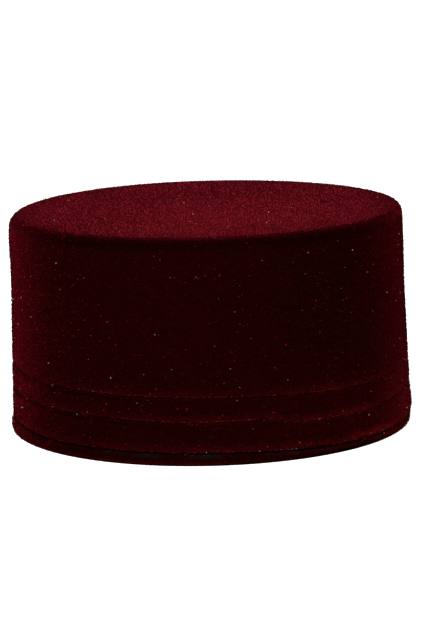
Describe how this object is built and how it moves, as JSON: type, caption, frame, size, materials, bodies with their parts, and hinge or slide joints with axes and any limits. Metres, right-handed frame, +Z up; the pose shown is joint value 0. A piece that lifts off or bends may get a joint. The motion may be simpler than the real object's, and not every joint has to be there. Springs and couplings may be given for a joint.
{
  "type": "velvet fez hat",
  "caption": "Low drum-shaped velvet fez with a flat round crown, a rolled shoulder, a side band drawn in by rows of stitching, and a narrow folded binding round its open rim.",
  "frame": {"origin": "middle of the rim plane that the hat rests on", "axes": "+Z up along the hat's axis, front towards -Y, the picture's right towards +X"},
  "size_m": [0.1912, 0.1905, 0.103],
  "materials": {
    "crown_velvet": "deep maroon pile velvet, brighter where it is seen at a low angle",
    "band_velvet": "deep maroon pile velvet, near black where it faces the eye",
    "binding_velvet": "deep maroon velvet, its pile crushed along the seam"
  },
  "bodies": {
    "root": {"crown_top": "crown_velvet", "side_band": "band_velvet", "hem_binding": "binding_velvet"}
  },
  "joints": []
}
